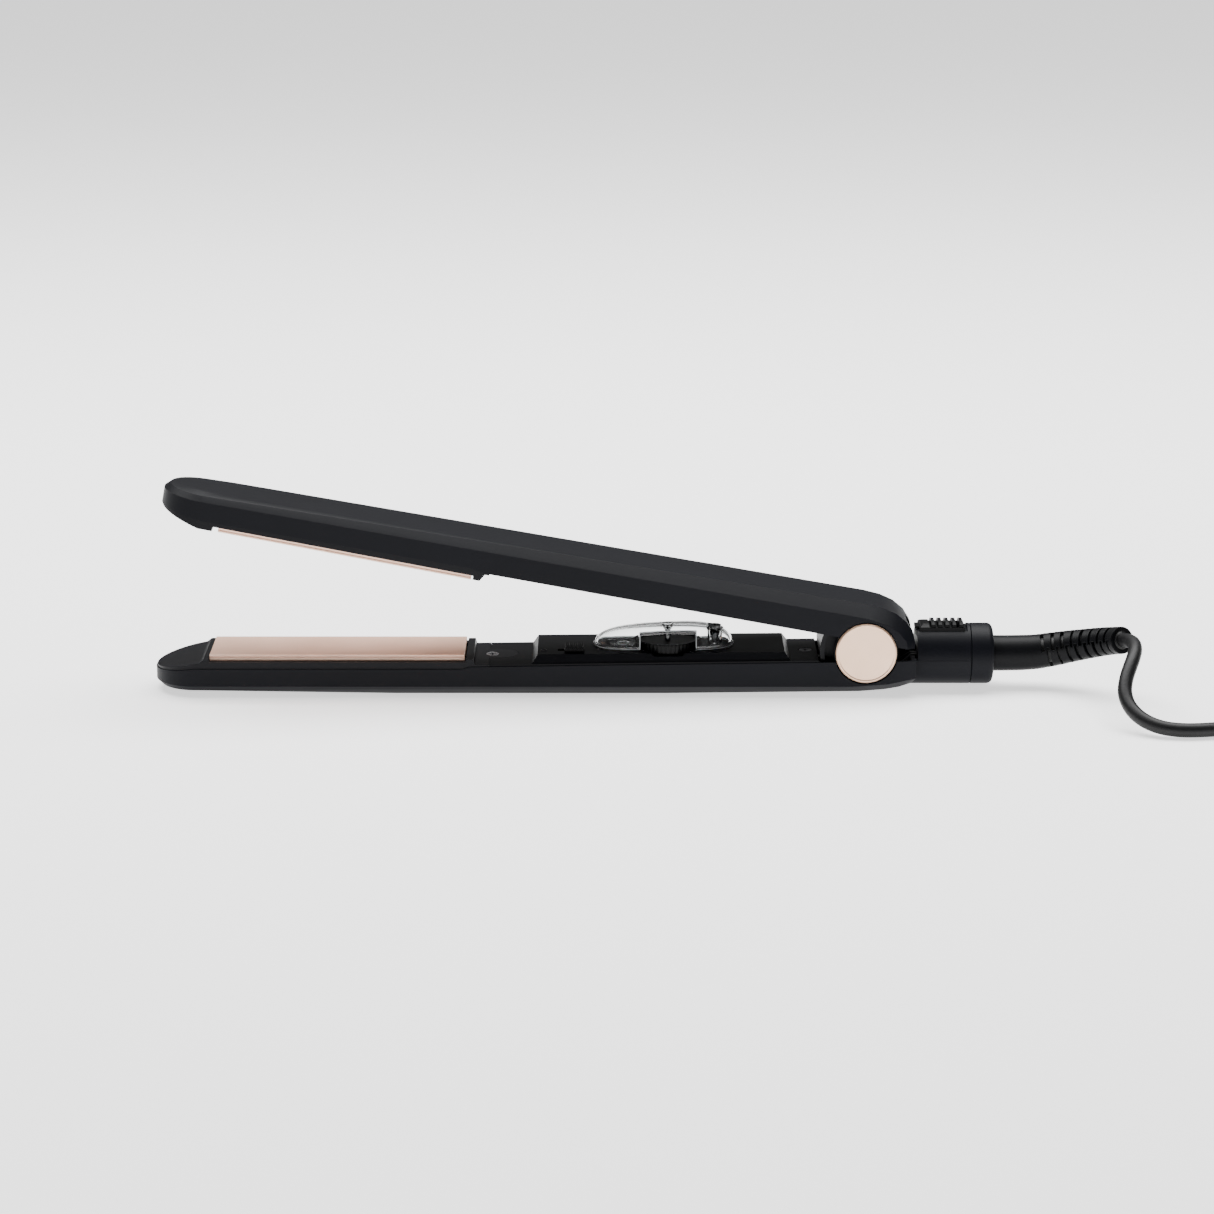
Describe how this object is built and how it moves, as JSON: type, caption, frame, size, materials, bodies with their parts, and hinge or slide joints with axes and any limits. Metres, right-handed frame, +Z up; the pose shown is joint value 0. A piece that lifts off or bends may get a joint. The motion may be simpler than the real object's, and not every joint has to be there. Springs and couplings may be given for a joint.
{
  "type": "flat iron hair straightener",
  "caption": "Flat iron with two sprung arms, ceramic-coated heated plates, slide switch, temperature wheel under a clear lens, sliding arm lock and swivelling mains lead.",
  "frame": {"origin": "on the floor under the middle of the iron's length, in its plane of symmetry, measured without the mains lead and its plug", "axes": "+X along the iron from the noses to the tail, +Y across the iron towards its far side, +Z up, from the belly of the lower arm to the upper arm"},
  "size_m": [0.5387, 0.1183, 0.075],
  "materials": {
    "shell_black": "soft-touch, fine grain",
    "frame_black": "heat-resistant, dull",
    "ceramic_plate": "tourmaline-coated aluminium, satin rose gold",
    "rose_cap": "satin champagne gold",
    "clear_lens": "clear moulded, polished",
    "black_gloss": "lightly polished",
    "black_screw": "blackened steel",
    "pin_steel": "turned",
    "carrier_resin": "glass-filled, dull",
    "heater_foil": "polyimide-wrapped",
    "board_green": "solder mask",
    "component_dark": "moulded",
    "led_red": "clear red",
    "wire_red": "silicone-insulated",
    "cord_black": "satin jacket",
    "plug_black": "moulded",
    "pin_nickel": "plated"
  },
  "bodies": {
    "lower_arm": {"lower_shell": "shell_black", "lower_plate_frame": "frame_black", "control_cover": "shell_black", "lower_cover_screws": "black_screw", "lower_plate": "ceramic_plate", "lower_carrier": "carrier_resin", "lower_heater": "heater_foil", "lower_heater_clip": "pin_steel", "thermal_fuse": "component_dark", "thermistor": "component_dark", "circuit_board": "board_green", "board_parts": "component_dark", "dial_potentiometer": "component_dark", "switch_body": "component_dark", "indicator_led": "led_red", "dial_lens": "clear_lens", "lens_screw": "black_screw", "lower_hinge_block": "frame_black", "hinge_pin": "pin_steel", "hinge_caps": "rose_cap", "hinge_spring": "pin_steel", "tail_cover": "shell_black", "swivel_collar": "shell_black", "swivel_bush": "frame_black", "brush_contacts": "heater_foil", "lower_wires": "wire_red", "supply_wires": "wire_red", "hinge_leads": "wire_red"},
    "upper_arm": {"upper_shell": "shell_black", "upper_plate_frame": "frame_black", "upper_cover": "shell_black", "upper_cover_screws": "black_screw", "upper_hinge_block": "frame_black", "upper_wires": "wire_red", "float_springs": "pin_steel"},
    "floating_plate": {"upper_plate": "ceramic_plate", "upper_carrier": "carrier_resin", "upper_heater": "heater_foil", "upper_heater_clip": "pin_steel"},
    "switch": {"switch_knob": "black_gloss"},
    "dial": {"dial_wheel": "black_gloss", "dial_spindle": "black_gloss"},
    "lock": {"lock_slider": "black_gloss"},
    "cord": {"swivel_rotor": "component_dark", "slip_rings": "heater_foil", "cord_guard": "cord_black", "power_cord": "cord_black", "cord_hank": "cord_black", "hank_tie": "cord_black", "plug_lead": "cord_black", "plug_guard": "cord_black", "plug_body": "plug_black", "plug_pins": "pin_nickel"}
  },
  "joints": [
    {"name": "arm_hinge", "type": "hinge", "parent": "lower_arm", "child": "upper_arm", "pos_m": [0.103, 0, 0.0159], "axis": [0, -1, 0], "range_deg": [0, 11], "stiffness_Nm_per_rad": 0.67, "springref_deg": -29.79, "deforming": ["hinge_spring"]},
    {"name": "plate_float", "type": "slide", "parent": "upper_arm", "child": "floating_plate", "axis": [0.1908, 0, 0.9816], "range_m": [0, 0.0008], "stiffness_N_per_m": 1500, "springref_m": -0.001, "deforming": ["float_springs"]},
    {"name": "switch_slide", "type": "slide", "parent": "lower_arm", "child": "switch", "axis": [1, 0, 0], "range_m": [-0.0025, 0]},
    {"name": "dial_turn", "type": "hinge", "parent": "lower_arm", "child": "dial", "pos_m": [0.0333, 0, 0.0159], "axis": [0, 0, 1], "range_deg": [0, 270]},
    {"name": "lock_slide", "type": "slide", "parent": "lower_arm", "child": "lock", "axis": [-1, 0, 0], "range_m": [0, 0.003]},
    {"name": "cord_swivel", "type": "hinge", "parent": "lower_arm", "child": "cord", "pos_m": [0.14, 0, 0.012], "axis": [1, 0, 0], "continuous": true}
  ]
}
